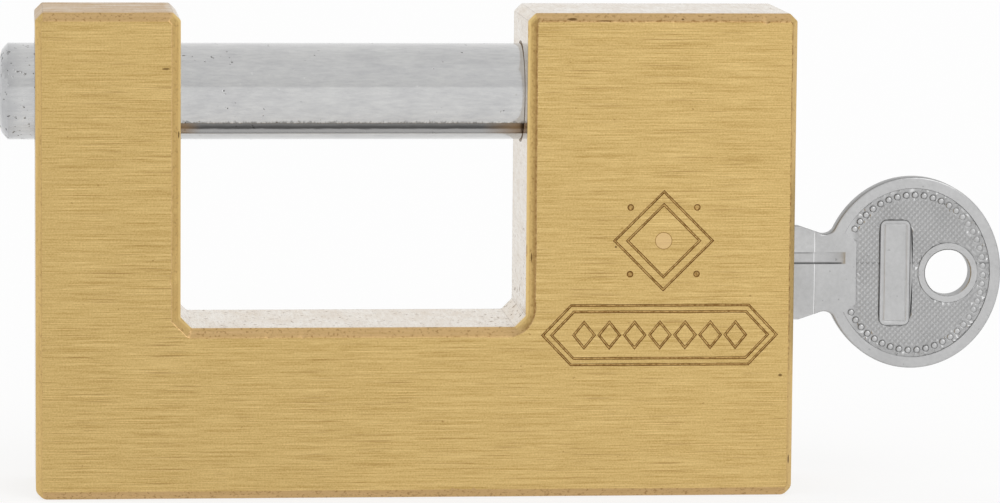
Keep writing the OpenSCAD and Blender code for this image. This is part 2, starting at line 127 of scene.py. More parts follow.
class Graph:
    """A material's or world's node tree, with short calls that return output sockets."""

    def __init__(self, tree):
        self.tree = tree
        self.tree.nodes.clear()

    def add(self, kind, inputs=None, **settings):
        node = self.tree.nodes.new(kind)
        for name, value in settings.items():
            setattr(node, name, value)
        for key, value in (inputs or {}).items():
            self.put(node.inputs[key], value)
        return node

    def put(self, socket, value):
        if isinstance(value, bpy.types.NodeSocket):
            self.tree.links.new(value, socket)
        else:
            socket.default_value = value

    def place(self):
        return self.add("ShaderNodeTexCoord").outputs["Object"]

    def stretched(self, scale, turn=(0, 0, 0)):
        """Object coordinates in metres, times a scale for each axis."""
        inputs = {"Vector": self.place(), "Scale": scale, "Rotation": [math.radians(a) for a in turn]}
        return self.add("ShaderNodeMapping", inputs).outputs["Vector"]

    def noise(self, vector, scale=1.0, detail=3.0, rough=0.5, warp=0.0):
        inputs = {"Vector": vector, "Scale": scale, "Detail": detail, "Roughness": rough, "Distortion": warp}
        return self.add("ShaderNodeTexNoise", inputs).outputs["Fac"]

    def ramp(self, value, low, high, out_low=0.0, out_high=1.0):
        inputs = {"Value": value, "From Min": low, "From Max": high, "To Min": out_low, "To Max": out_high}
        return self.add("ShaderNodeMapRange", inputs).outputs["Result"]

    def math(self, operation, a, b=0.0):
        return self.add("ShaderNodeMath", {0: a, 1: b}, operation=operation).outputs[0]

    def mix(self, factor, a, b):
        node = self.add("ShaderNodeMix", data_type="RGBA")
        self.put(node.inputs["Factor"], factor)
        self.put(node.inputs["A"], a)
        self.put(node.inputs["B"], b)
        return node.outputs["Result"]

    def bump(self, height, distance, strength=1.0, under=None):
        inputs = {"Height": height, "Distance": distance, "Strength": strength}
        if under is not None:
            inputs["Normal"] = under
        return self.add("ShaderNodeBump", inputs).outputs["Normal"]

    def metal(self, colour, roughness, normal=None, aniso=0.0):
        inputs = {"Base Color": colour, "Metallic": 1.0, "Roughness": roughness, "Anisotropic": aniso}
        if normal is not None:
            inputs["Normal"] = normal
        shader = self.add("ShaderNodeBsdfPrincipled", inputs)
        output = self.add("ShaderNodeOutputMaterial")
        self.tree.links.new(shader.outputs["BSDF"], output.inputs["Surface"])
        return shader


def new_material(name, slot):
    material = bpy.data.materials.new(name)
    material.use_nodes = True
    material["slot"] = slot
    return material, Graph(material.node_tree)


def brush_lines(g, vertical=False):
    """Fine ground lines of several lengths with some grain, as a value round 0.5."""
    def lines(length, width, detail):
        scale = (width, width, length) if vertical else (length, width, width)
        return g.noise(g.stretched(scale), detail=detail, rough=0.7)

    tone = g.math("MULTIPLY", lines(110, 8200, 1), 0.38)
    tone = g.math("ADD", tone, g.math("MULTIPLY", lines(520, 8200, 1), 0.18))
    tone = g.math("ADD", tone, g.math("MULTIPLY", lines(45, 3600, 2), 0.20))
    return g.math("ADD", tone, g.math("MULTIPLY", lines(4600, 5200, 1), 0.24))


def blots(g, places):
    """Marks at given places on the front: 1 inside each ellipse. Each is x, z and its two half sizes, in mm."""
    where = g.add("ShaderNodeSeparateXYZ", {"Vector": g.place()}).outputs
    ragged = g.noise(g.stretched((3800, 3800, 3800)), detail=3, rough=0.7)
    found = None
    for x, z, half_x, half_z in places:
        across = g.math("DIVIDE", g.math("SUBTRACT", where["X"], x * MM), half_x * MM)
        up = g.math("DIVIDE", g.math("SUBTRACT", where["Z"], z * MM), half_z * MM)
        away = g.math("ADD", g.math("MULTIPLY", across, across), g.math("MULTIPLY", up, up))
        mark = g.ramp(g.math("ADD", away, ragged), 1.6, 0.9)
        found = mark if found is None else g.math("MAXIMUM", found, mark)
    return g.math("MULTIPLY", found, g.ramp(where["Y"], 0.0, -0.001))


def spots(g, scale, low, high, stretch=(1, 1, 1), detail=2.0):
    """Sparse spots: 1 in their middle and 0 between them."""
    vector = g.stretched([scale * s for s in stretch])
    return g.ramp(g.noise(vector, detail=detail), low, high)


def brushed_brass():
    """Belt-ground brass: fine lines along the bolt, a few deeper scratches and small dark specks."""
    material, g = new_material("brushed_brass", "brass_body")
    tone = brush_lines(g)
    colour = g.mix(g.ramp(tone, 0.36, 0.64), linear(BRASS_DARK), linear(BRASS_LIGHT))
    scratch = g.math("MULTIPLY", spots(g, 5200, 0.57, 0.74, (0.022, 1, 1), 1), spots(g, 150, 0.4, 0.6))
    colour = g.mix(g.math("MULTIPLY", scratch, 0.6), colour, linear(BRASS_SCRATCH))
    speck = spots(g, 1500, 0.72, 0.76, (0.7, 1, 1))
    colour = g.mix(g.math("MULTIPLY", speck, 0.6), colour, linear(BRASS_SCRATCH))
    marks = blots(g, FACE_MARKS)
    colour = g.mix(g.math("MULTIPLY", marks, 0.8), colour, linear(MARK_BROWN))
    height = g.math("SUBTRACT", tone, g.math("ADD", g.math("MULTIPLY", scratch, 0.5), marks))
    g.metal(colour, g.ramp(tone, 0.3, 0.7, 0.46, 0.38), g.bump(height, 0.00002, 0.4))
    return material


def pin_brass():
    """A pin's flush ground end, a little redder and paler than the block."""
    material, g = new_material("pin_brass", "brass_body")
    tone = brush_lines(g)
    colour = g.mix(g.ramp(tone, 0.3, 0.7), linear(PIN_SHADE), linear(PIN_DISC))
    g.metal(colour, g.ramp(tone, 0.3, 0.7, 0.46, 0.36), g.bump(tone, 0.00002, 0.3))
    return material


def chamfer_brass():
    """The edge cuts: tan and finely specked where they are level, golden where they stand upright. The upright ones
    beside the notch have a painted highlight along their outer edge, and the one beside the notch's right wall
    has a brown band next to the ground face."""
    material, g = new_material("chamfer_brass", "brass_body")
    coordinates = g.add("ShaderNodeTexCoord").outputs
    place = g.add("ShaderNodeSeparateXYZ", {"Vector": coordinates["Object"]}).outputs
    normal = g.add("ShaderNodeSeparateXYZ", {"Vector": coordinates["Normal"]}).outputs
    upright = g.ramp(g.math("ABSOLUTE", normal["X"]), 0.3, 0.5)
    tone = g.add("ShaderNodeMix", {0: upright, 2: brush_lines(g), 3: brush_lines(g, True)}).outputs[0]
    ragged = g.noise(g.stretched((1300, 1300, 1300)), detail=4, rough=0.7)
    colour = g.mix(upright, linear(BRASS_TAN), linear(BRASS_GOLD))
    colour = g.mix(g.ramp(tone, 0.3, 0.7, 0.7, 0.0), colour, linear(BRASS_DARK))
    depth = g.math("ABSOLUTE", place["Y"])
    edge = g.math("ADD", depth, g.math("MULTIPLY", g.math("SUBTRACT", ragged, 0.5), 0.0008))
    inner_wall = g.math("MULTIPLY", g.ramp(place["X"], 0.0128, 0.0130), g.ramp(place["X"], 0.0152, 0.0150))
    inner_wall = g.math("MULTIPLY", inner_wall, upright)
    notch_side = g.math("MULTIPLY", g.ramp(place["X"], 0.0152, 0.0150), g.ramp(place["X"], -0.0455, -0.0450))
    highlight_side = g.math("MULTIPLY", upright, notch_side)
    reach = g.math("ADD", 0.1, g.math("MULTIPLY", inner_wall, 0.42))
    brown = g.math("MULTIPLY", g.ramp(edge, 0.0095, 0.0098), reach)
    colour = g.mix(brown, colour, linear(BRASS_BROWN))
    high = g.ramp(place["Z"], 0.012, 0.02)
    border = g.math("MULTIPLY", g.ramp(depth, 0.00984, 0.0099), g.ramp(place["X"], 0.0130, 0.0135, 0.1, 0.75))
    border = g.math("MULTIPLY", border, high)
    colour = g.mix(g.math("MULTIPLY", border, g.ramp(ragged, 0.4, 0.6)), colour, linear(BRASS_BROWN))
    speck = g.math("MULTIPLY", spots(g, 2600, 0.56, 0.7), g.ramp(upright, 0, 1, 0.6, 0.3))
    colour = g.mix(speck, colour, linear(BRASS_BROWN))
    # Painted highlight along the outer edge of the upright chamfers beside the notch.
    worn = g.math("MULTIPLY", g.ramp(depth, 0.00942, 0.00928), highlight_side)
    colour = g.mix(g.math("MULTIPLY", worn, 0.8), colour, linear(BRASS_EDGE_HIGHLIGHT))
    marks = blots(g, EDGE_MARKS)
    colour = g.mix(g.math("MULTIPLY", marks, 0.85), colour, linear(MARK_BROWN))
    g.metal(colour, g.ramp(tone, 0.3, 0.7, 0.38, 0.3), g.bump(g.math("SUBTRACT", tone, marks), 0.00003, 0.3))
    return material


def wall_brass(name="wall_brass", line=0.0):
    """Milled walls: gold when seen from the front and pale at a grazing angle, which is a painted reflection, with
    faint cutter lines, small pits and a tan, rougher top of the left leg. A wall's corners have a darker line."""
    material, g = new_material(name, "brass_body")
    place = g.add("ShaderNodeSeparateXYZ", {"Vector": g.place()}).outputs
    lines = g.noise(g.stretched((2600, 260, 2600)), detail=3, rough=0.6)
    cloud = g.noise(g.stretched((300, 150, 300)), detail=5, rough=0.7)
    streak = g.noise(g.stretched((120, 900, 120)), detail=4, rough=0.7)
    left = g.ramp(place["X"], -0.029, -0.031)
    high = g.ramp(place["Z"], 0.058, 0.0595)
    top = g.math("MULTIPLY", left, high)
    tan = g.math("MULTIPLY", top, g.ramp(streak, 0.36, 0.6, 0.9, 0.4))
    shade = g.math("ADD", g.math("MULTIPLY", lines, 0.4), g.math("MULTIPLY", cloud, 0.6))
    # Painted reflection: the base colour turns pale at a grazing angle and stays gold face-on.
    grazing = g.add("ShaderNodeLayerWeight", {"Blend": 0.5}).outputs["Facing"]
    grazing = g.ramp(grazing, 0.5, 0.86)
    dull = g.ramp(shade, 0.34, 0.6, 0.5, 0.0)
    pale = g.mix(dull, linear(WALL_GRAZING_SHEEN), linear(WALL_TAN))
    pale = g.mix(tan, pale, linear(TOP_TAN))
    gold = g.mix(dull, linear(WALL_GOLD), linear(WALL_SHADE))
    colour = g.mix(grazing, gold, pale)
    near_corner = g.ramp(place["Z"], 0.034, 0.021, 0.0, 0.05)
    in_corner = g.math("MULTIPLY", near_corner, g.ramp(place["X"], 0.0055, 0.0115, 0.0, 0.6))
    near_corner = g.math("ADD", near_corner, in_corner)
    pit_noise = g.noise(g.stretched((1500, 1500, 1500)), detail=2)
    pit = g.ramp(g.math("ADD", pit_noise, near_corner), 0.70, 0.745)
    fine = g.math("MULTIPLY", spots(g, 3600, 0.66, 0.72), 0.55)
    pit = g.math("MAXIMUM", pit, fine)
    colour = g.mix(g.math("MULTIPLY", pit, 0.8), colour, linear(WALL_PIT))
    if line:
        colour = g.mix(g.ramp(cloud, 0.3, 0.7, line, 0.2 * line), colour, linear(WALL_PIT))
    rough = g.math("ADD", g.ramp(shade, 0.3, 0.7, 0.24, 0.16), g.math("MULTIPLY", pit, 0.3))
    rough = g.math("ADD", rough, g.math("MULTIPLY", tan, 0.4))
    height = g.math("SUBTRACT", g.math("MULTIPLY", lines, 0.3), pit)
    g.metal(colour, rough, g.bump(height, 0.00003, 0.25))
    return material


def cut_brass():
    """Inside the engraved lines: dark brown sides and a paler bottom."""
    material, g = new_material("cut_brass", "brass_body")
    depth = g.add("ShaderNodeSeparateXYZ", {"Vector": g.place()}).outputs["Y"]
    grain = g.noise(g.stretched((2400, 2400, 2400)), detail=4, rough=0.7)
    bottom = g.ramp(depth, -BODY_D / 2 * MM + 0.7 * LINE_DEPTH * MM, -BODY_D / 2 * MM + 0.95 * LINE_DEPTH * MM)
    light = g.math("MULTIPLY", bottom, g.ramp(grain, 0.36, 0.6))
    colour = g.mix(light, linear(CUT_BROWN), linear(CUT_LIGHT))
    g.metal(colour, g.ramp(grain, 0.3, 0.7, 0.42, 0.55), g.bump(grain, 0.00003, 0.4))
    return material


def turned(name, slot, light, dark, axis="X", centre=(0, 0), spacing=0.00011):
    """Lathe lines: rings about an axis through centre, which gives the other two coordinates in metres."""
    material, g = new_material(name, slot)
    place = g.add("ShaderNodeSeparateXYZ", {"Vector": g.place()}).outputs
    others = [c for c in "XYZ" if c != axis]
    a, b = [g.math("SUBTRACT", place[c], at) for c, at in zip(others, centre)]
    radius = g.math("SQRT", g.math("ADD", g.math("MULTIPLY", a, a), g.math("MULTIPLY", b, b)))
    rings = g.add("ShaderNodeCombineXYZ", {"X": radius, "Y": place[axis], "Z": 0.0}).outputs[0]
    fine = g.noise(rings, scale=1 / spacing, detail=2)
    cloud = g.noise(g.stretched((500, 500, 500)), detail=4, rough=0.65)
    tone = g.math("ADD", g.math("MULTIPLY", fine, 0.65), g.math("MULTIPLY", cloud, 0.35))
    colour = g.mix(g.ramp(tone, 0.32, 0.66), linear(dark), linear(light))
    g.metal(colour, g.ramp(tone, 0.3, 0.7, 0.38, 0.24), g.bump(fine, 0.00002, 0.35))
    return material


def plated_steel():
    """Dull bright plating with pits and scuffs. What is cut below the rod's surface is painted dark as shade,
    darkest under the groove's upper wall and lighter on its lower lip.
    """
    material, g = new_material("plated_steel", "plated_steel")
    place = g.add("ShaderNodeSeparateXYZ", {"Vector": g.place()}).outputs
    up = g.math("SUBTRACT", place["Z"], BOLT_Z * MM)
    radius = g.math("SQRT", g.math("ADD", g.math("MULTIPLY", place["Y"], place["Y"]), g.math("MULTIPLY", up, up)))
    cloud = g.noise(g.stretched((260, 420, 420)), detail=5, rough=0.65)
    drawn = g.noise(g.stretched((500, 2600, 2600)), detail=4, rough=0.7)
    tone = g.math("ADD", g.math("MULTIPLY", cloud, 0.45), g.math("MULTIPLY", drawn, 0.55))
    colour = g.mix(g.ramp(tone, 0.34, 0.62), linear(PLATED_DARK), linear(PLATED))
    worn = g.math("ADD", g.ramp(place["X"], -0.012, -0.030, 0.0, 0.05), g.ramp(place["X"], -0.0465, -0.0485, 0.0, 0.035))
    small = g.noise(g.stretched((1500, 1500, 1500)), detail=2)
    large = g.noise(g.stretched((560, 800, 800)), detail=3, rough=0.6)
    pit = g.math("MAXIMUM", g.ramp(g.math("ADD", small, worn), 0.73, 0.77),
                 g.ramp(g.math("ADD", large, worn), 0.73, 0.76))
    colour = g.mix(g.math("MULTIPLY", pit, 0.8), colour, linear(PLATED_PIT))
    cut = g.ramp(radius, 0.00592, 0.00586)
    inside = g.math("MULTIPLY", cut, g.ramp(place["X"], -0.0455, -0.0450))
    chewed = g.noise(g.stretched((1900, 1200, 1200)), detail=4, rough=0.75)
    depth = g.math("ADD", up, g.math("MULTIPLY", g.math("SUBTRACT", drawn, 0.5), 0.0003))
    # Painted shade in the groove: darkest under its upper wall, lighter on its lower lip, browner near the block's
    # walls.
    groove_shade = g.mix(g.ramp(depth, -0.00395, -0.00425), linear(GROOVE_TOP_SHADE), linear(GROOVE_DEEP_SHADE))
    groove_shade = g.mix(g.ramp(depth, -0.00442, -0.00458), groove_shade, linear(GROOVE_LIP_SHADE))
    near_wall = g.math("ADD", g.ramp(place["X"], 0.0085, 0.0125), g.ramp(place["X"], -0.0265, -0.0285))
    groove_shade = g.mix(g.math("MULTIPLY", near_wall, 0.6), groove_shade, linear(GROOVE_BROWN))
    colour = g.mix(g.math("MULTIPLY", inside, 0.95), colour, groove_shade)
    # A ragged strip just above the groove's upper edge gets the groove's painted shade too.
    lip = g.math("ADD", up, g.math("MULTIPLY", g.math("SUBTRACT", chewed, 0.5), 0.0016))
    beside = g.math("MULTIPLY", g.ramp(lip, -0.00335, -0.0036), g.ramp(up, -0.00378, -0.00368))
    on_front = g.math("MULTIPLY", g.ramp(place["Y"], 0.0, -0.001), g.ramp(place["X"], -0.0455, -0.0450))
    colour = g.mix(g.math("MULTIPLY", g.math("MULTIPLY", beside, on_front), 0.7), colour, linear(GROOVE_TOP_SHADE))
    tip = g.ramp(place["X"], -0.0485, -0.0502, 0.0, 0.3)
    colour = g.mix(tip, colour, linear(PLATED_TIP))
    rough = g.math("ADD", g.ramp(tone, 0.3, 0.7, 0.13, 0.07), g.math("MULTIPLY", pit, 0.3))
    rough = g.math("ADD", rough, g.math("MULTIPLY", inside, 0.1))
    height = g.math("SUBTRACT", g.math("MULTIPLY", tone, 0.25), pit)
    g.metal(colour, rough, g.bump(height, 0.00004, 0.3))
    return material


def spring_wire():
    """Drawn wire with a faint temper stain."""
    if "spring_wire" in bpy.data.materials:
        return bpy.data.materials["spring_wire"]
    material, g = new_material("spring_wire", "spring_steel")
    stain = g.noise(g.stretched((700, 700, 700)), detail=4, rough=0.65)
    drawn = g.noise(g.stretched((5200, 5200, 5200)), detail=2)
    tone = g.math("ADD", g.math("MULTIPLY", stain, 0.6), g.math("MULTIPLY", drawn, 0.4))
    colour = g.mix(g.ramp(tone, 0.34, 0.62), linear(SPRING_DARK), linear(SPRING))
    g.metal(colour, g.ramp(tone, 0.3, 0.7, 0.36, 0.22), g.bump(drawn, 0.00002, 0.3))
    return material


def nickel(name, light, valley_shade_and_speck, top):
    """Stamped nickel: paler where it stands proud and darker in the valleys of the knurling and round the beads,
    which is painted shade, with a painted highlight along the step to the blade.
    """
    material, g = new_material(name, "nickel_key")
    place = g.add("ShaderNodeSeparateXYZ", {"Vector": g.place()}).outputs
    level = g.math("ABSOLUTE", place["Y"])
    grain = g.noise(g.stretched((1700, 1700, 1700)), detail=4, rough=0.65)
    cloud = g.noise(g.stretched((260, 260, 260)), detail=3)
    tone = g.math("ADD", g.math("MULTIPLY", grain, 0.5), g.math("MULTIPLY", cloud, 0.5))
    colour = g.mix(g.ramp(tone, 0.3, 0.62), linear([c - 14 for c in light]), linear(light))
    # Painted highlight: a near-white line on the slope of the step from the head to the blade.
    step = g.math("COMPARE", place["X"], (STEP_X - SLOPE / 2) * MM)
    step.node.inputs[2].default_value = SLOPE * MM
    colour = g.mix(g.math("MULTIPLY", step, 0.8), colour, (1, 1, 1, 1))
    # Painted shade: darker with depth in the knurling's valleys and in the moats round the beads and the tablet.
    head = g.ramp(place["X"], 0.0555, 0.0560)
    low = g.math("MULTIPLY", head, g.ramp(level, top - 0.25 * KNURL_H * MM, FLOOR_LEVEL * MM, 0.0, 0.34))
    moat_shade = g.math("MULTIPLY", head, g.ramp(level, FLOOR_LEVEL * MM, (FLOOR_LEVEL - MOAT_DEPTH) * MM, 0.0, 0.5))
    colour = g.mix(g.math("ADD", low, moat_shade), colour, linear(valley_shade_and_speck))
    middle, width = WARDS[-1]
    up = g.math("SUBTRACT", place["Z"], (PLUG_Z + middle - width / 2) * MM)
    sunk = g.math("MULTIPLY", g.ramp(place["Y"], 0.0, -0.0001), g.ramp(level, 0.00104, 0.00096))
    foot = g.math("MULTIPLY", g.ramp(up, 0.00026, 0.00014), g.ramp(up, -0.0001, 0.0))
    crown = g.math("MULTIPLY", g.ramp(up, 0.0012, 0.00134), g.ramp(place["X"], 0.0512, 0.0500, 0.0, 0.6))
    shadow = g.math("MULTIPLY", sunk, g.math("ADD", foot, crown))
    colour = g.mix(g.math("MULTIPLY", shadow, 0.75), colour, linear(WARD_SHADOW))
    # Small random dark specks, in the colour of the painted valley shade.
    speck = spots(g, 1900, 0.70, 0.76)
    colour = g.mix(g.math("MULTIPLY", speck, 0.6), colour, linear(valley_shade_and_speck))
    g.metal(colour, g.ramp(tone, 0.3, 0.7, 0.36, 0.27), g.bump(grain, 0.00003, 0.35))
    return material


# ---------- camera, light and floor

def make_camera():
    data = bpy.data.cameras.new("camera")
    data.lens = CAMERA_LENS
    data.sensor_width = 36
    data.clip_end = 100
    camera = bpy.data.objects.new("camera", data)
    bpy.context.scene.collection.objects.link(camera)
    turn = Matrix.Rotation(math.radians(CAMERA_PITCH), 4, "X")
    turn = turn @ Matrix.Rotation(math.radians(CAMERA_YAW), 4, "Z")
    turn = turn @ Matrix.Rotation(math.radians(CAMERA_ROLL), 4, "Y")
    turn = turn @ Matrix.Rotation(math.radians(90), 4, "X")
    camera.matrix_world = Matrix.Translation(CAMERA_PLACE) @ turn
    bpy.context.scene.camera = camera


def seen_rays(g):
    """1 for the rays that show the background: straight to the camera or through glass."""
    path = g.add("ShaderNodeLightPath").outputs
    seen = g.math("MAXIMUM", path["Is Camera Ray"], path["Is Transmission Ray"])
    return path, seen


def make_world():
    """White all round and a little darker behind the camera, with a softbox at its right."""
    world = bpy.data.worlds.new("studio")
    bpy.context.scene.world = world
    world.use_nodes = True
    g = Graph(world.node_tree)
    path, seen = seen_rays(g)
    direction = g.add("ShaderNodeTexCoord").outputs["Generated"]
    toward = g.add("ShaderNodeSeparateXYZ", {"Vector": direction}).outputs
    softbox = g.math("MULTIPLY", g.ramp(toward["X"], *SOFTBOX_LEFT), g.ramp(toward["X"], *SOFTBOX_RIGHT))
    softbox = g.math("MULTIPLY", softbox, g.ramp(toward["Y"], -0.3, -0.5, 0.0, SOFTBOX))
    above = g.ramp(toward["Z"], TABLE_END[1], 0.9, WORLD_FRONT, WORLD_OVERHEAD)
    front = g.ramp(toward["Z"], *TABLE_END, WORLD_LOW, above)
    strength = g.math("ADD", g.ramp(toward["Y"], 0.2, 0.9, front, WORLD_BACK), softbox)
    strength = g.math("ADD", g.math("MULTIPLY", strength, g.math("SUBTRACT", 1, seen)), seen)
    sky = g.add("ShaderNodeBackground", {"Color": (1, 1, 1, 1), "Strength": strength})
    output = g.add("ShaderNodeOutputWorld")
    g.tree.links.new(sky.outputs["Background"], output.inputs["Surface"])


def make_floor():
    """A white floor that keeps the shadow, and that the camera and the metal see partly as white backdrop."""
    side = 6.0
    mesh = bpy.data.meshes.new("floor")
    corners = [(-side, -side, 0), (side, -side, 0), (side, side, 0), (-side, side, 0)]
    mesh.from_pydata(corners, [], [(0, 1, 2, 3)])
    floor = bpy.data.objects.new("floor", mesh)
    bpy.context.scene.collection.objects.link(floor)
    material, g = new_material("floor_white", "")
    path, seen = seen_rays(g)
    seen = g.math("MAXIMUM", seen, path["Is Glossy Ray"])
    matt = g.add("ShaderNodeBsdfDiffuse", {"Color": linear(FLOOR)})
    white = g.add("ShaderNodeEmission", {"Color": (1, 1, 1, 1), "Strength": 1.0})
    share = g.math("MULTIPLY", seen, BACKDROP_SHARE)
    both = g.add("ShaderNodeMixShader", {0: share, 1: matt.outputs[0], 2: white.outputs[0]})
    output = g.add("ShaderNodeOutputMaterial")
    g.tree.links.new(both.outputs[0], output.inputs["Surface"])
    mesh.materials.append(material)


def make_lamp(name, place, target, size, watts):
    data = bpy.data.lights.new(name, "AREA")
    data.shape = "DISK"
    data.size = size
    data.energy = watts
    lamp = bpy.data.objects.new(name, data)
    bpy.context.scene.collection.objects.link(lamp)
    aim = (Vector(target) - Vector(place)).to_track_quat("-Z", "Y")
    lamp.matrix_world = Matrix.Translation(place) @ aim.to_matrix().to_4x4()
    lamp.visible_camera = False


# ---------- sizes repeated from part.scad, in millimetres

BODY_W = 94
BODY_H = 60.2
BODY_D = 20
LEFT_LEG_W = 17.8
RIGHT_LEG_W = 33.5
NOTCH_FLOOR_Z = 21.25
CORNER_CUT = 0.95
NOTCH_CORNER_CUT = 1.35
EDGE_CUT_DEPTH = 0.9
END_EDGE_CUT = 0.7
FLAT_EDGE_CUT = 0.95
NOTCH_EDGE_CUT = 1.05
NOTCH_ROUND = 3.3
SOFT_REACH = 0.18
SOFT_FOOT = 0.45
EDGE_SPACING = 0.3
RETAINER_X = 30.5
RETAINER_Z = 32.05
RETAINER_R = 1.0
SEAM = 0.07
SINK = 0.28
BOLT_Z = 49.8

PLUG_Z = 26.9
BOW_X = 63.3
BOW_RX = 11.25
BOW_RZ = 12.1
BOW_T = 2.3
RING_HOLE_R = 2.9
RING_HOLE_X = 67.8
HOLE_RING_R = 3.75
RIM_W = 1.36
FIELD_DEPTH = 0.16
FIELD_REACH = 7.2
FIELD_STRAIGHT = 3.95
FIELD_END = 8.75
NECK_X = 52.05
NECK_HALF = 4.87
NECK_R = 1.5
SHOULDER_X = 46.85
SHOULDER_HALF = 5.88
SLOPE_L = 3.2
STEP_X = 50.8
WARD_END_X = 54.7
WARD_DEPTH = 0.45
WARD_RISE = 2.6
WARDS = {-1: (1.9, 1.52), 1: (-1.5, 1.3)}
BLADE_T = 2.1
BLADE_TOP = 3.9
BLADE_BACK = 4.0
BLADE_TIP_X = 31.9
PIN_X = [43.5, 40.3, 37.1, 33.9]
CUT_Z = [3.2, 2.72, 2.24, 1.76]
CUT_FLAT = 0.6

# Finish numbers of a skin's faces
FACE, CHAMFER, WALL, CUT, BORE, CORNER = range(6)
FLAT, SIDE = range(2)

# Marks in the photograph: x, z and their half sizes on the front, in millimetres
FACE_MARKS = [(45.28, 15.2, 0.26, 0.2), (-31.05, 53.34, 0.55, 0.13), (24.55, 31.3, 0.16, 0.16)]
EDGE_MARKS = [(18.9, 59.5, 0.7, 0.17), (22.9, 59.3, 1.1, 0.08), (32.6, 59.5, 0.2, 0.12), (46.5, 4.6, 0.13, 0.6),
              (-29.45, 45.2, 0.1, 0.5), (14.1, 30.0, 0.1, 0.6)]



# ---------- helpers for outlines

def inward(a, b):
    """Unit vector to the left of the way from a to b, which is the inside of an anticlockwise outline."""
    along = (b - a).normalized()
    return Vector((-along.y, along.x))


def mitre(a, b, c, cut_ab, cut_bc):
    """Where the two edges at b meet after each has moved inwards."""
    u = (b - a).normalized()
    v = (c - b).normalized()
    p = b + inward(a, b) * cut_ab
    q = b + inward(b, c) * cut_bc
    cross = u.x * v.y - u.y * v.x
    if abs(cross) < 1e-6:
        return p
    gap = q - p
    return p + u * ((gap.x * v.y - gap.y * v.x) / cross)


def inset(points, cuts):
    """The outline moved inwards, edge by edge. cuts is one number or a list."""
    n = len(points)
    if not isinstance(cuts, (list, tuple)):
        cuts = [cuts] * n
    return [mitre(points[i - 1], points[i], points[(i + 1) % n], cuts[i - 1], cuts[i]) for i in range(n)]


def area(points):
    return sum(a.x * b.y - a.y * b.x for a, b in zip(points, points[1:] + points[:1])) / 2


def densified(points, spacing):
    """The closed outline with points added so that none are further apart than spacing."""
    out = []
    for a, b in zip(points, points[1:] + points[:1]):
        steps = max(1, math.ceil((b - a).length / spacing))
        out += [a.lerp(b, k / steps) for k in range(steps)]
    return out


def circle(x, z, r, steps):
    turn = 2 * math.pi / steps
    return [Vector((x + r * math.cos(turn * k), z + r * math.sin(turn * k))) for k in range(steps)]


def wander(count, size, reach, seed):
    """Smooth random numbers round a closed line, mostly within plus or minus size."""
    rng = random.Random(seed)
    raw = [rng.uniform(-1, 1) for _ in range(count)]
    share = size / math.sqrt(2 * reach + 1)
    return [share * sum(raw[(i + k) % count] for k in range(-reach, reach + 1)) for i in range(count)]


def nicks(count, how_many, deepest, seed):
    """Small notches at random places round a closed line."""
    rng = random.Random(seed)
    out = [0.0] * count
    for _ in range(how_many):
        at = rng.randrange(count)
        wide = rng.randint(0, 2)
        deep = deepest * rng.random() ** 2
        for k in range(-wide, wide + 1):
            i = (at + k) % count
            out[i] = max(out[i], deep * (1 - abs(k) / (wide + 1)))
    return out


# ---------- a skin: points and faces that become one closed mesh

class Skin:
    """Points in millimetres, faces with a finish number, and the edges that stay sharp."""

    def __init__(self):
        self.points = []
        self.faces = []
        self.finishes = []
        self.sharp = set()

    def point(self, place):
        self.points.append(tuple(place))
        return len(self.points) - 1

    def ring(self, flats, y):
        """Points at a depth y, or at a depth for each point."""
        depths = y if isinstance(y, (list, tuple)) else [y] * len(flats)
        return [self.point((p.x, d, p.y)) for p, d in zip(flats, depths)]

    def face(self, ids, finish):
        self.faces.append(tuple(ids))
        self.finishes.append(finish)

    def strip(self, a, b, finish, closed=True):
        """Quads between two rows of points."""
        for i in range(len(a) if closed else len(a) - 1):
            j = (i + 1) % len(a)
            self.face((a[i], a[j], b[j], b[i]), finish)

    def mark(self, loop):
        for i, a in enumerate(loop):
            self.sharp.add(frozenset((loop[i - 1], a)))

    def fill(self, loops, flat, lift, spots=(), lines=()):
        """Triangles inside the first loop. A loop is (points, finish), and a triangle has the finish of the
        last loop that goes round it, with None for a hole. Lines and spots are kept as edges and points."""
        ids = [v for loop, _ in loops for v in loop] + list(spots)
        index = {v: k for k, v in enumerate(ids)}
        flats = [Vector(flat(self.points[v])) for v in ids]
        rings = []
        for loop, _ in loops:
            ring = [index[v] for v in loop]
            if area([flats[k] for k in ring]) < 0:
                ring.reverse()
            rings.append(ring)
            self.mark(loop)
        edges = [(index[a], index[b]) for a, b in lines]
        made = delaunay_2d_cdt(flats, edges, rings, 1, 1e-7)
        out = [ids[old[0]] if old else self.point(lift(v)) for v, old in zip(made[0], made[3])]
        for triangle, sources in zip(made[2], made[5]):
            finish = loops[max(sources)][1]
            if finish is not None:
                self.face([out[k] for k in triangle], finish)

    def object(self, name, body, materials, smooth=28):
        mesh = bpy.data.meshes.new(name)
        mesh.from_pydata([[c * MM for c in p] for p in self.points], [], self.faces)
        mesh.polygons.foreach_set("material_index", self.finishes)
        for material in materials:
            mesh.materials.append(material)
        work = bmesh.new()
        work.from_mesh(mesh)
        bmesh.ops.recalc_face_normals(work, faces=work.faces)
        work.to_mesh(mesh)
        work.free()
        mesh.shade_smooth()
        mesh.set_sharp_from_angle(angle=math.radians(smooth))
        sharp = mesh.attributes["sharp_edge"].data
        for edge in mesh.edges:
            if frozenset(edge.vertices) in self.sharp:
                sharp[edge.index].value = True
        piece = bpy.data.objects.new(name, mesh)
        bpy.context.scene.collection.objects.link(piece)
        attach(piece, body)
        return piece


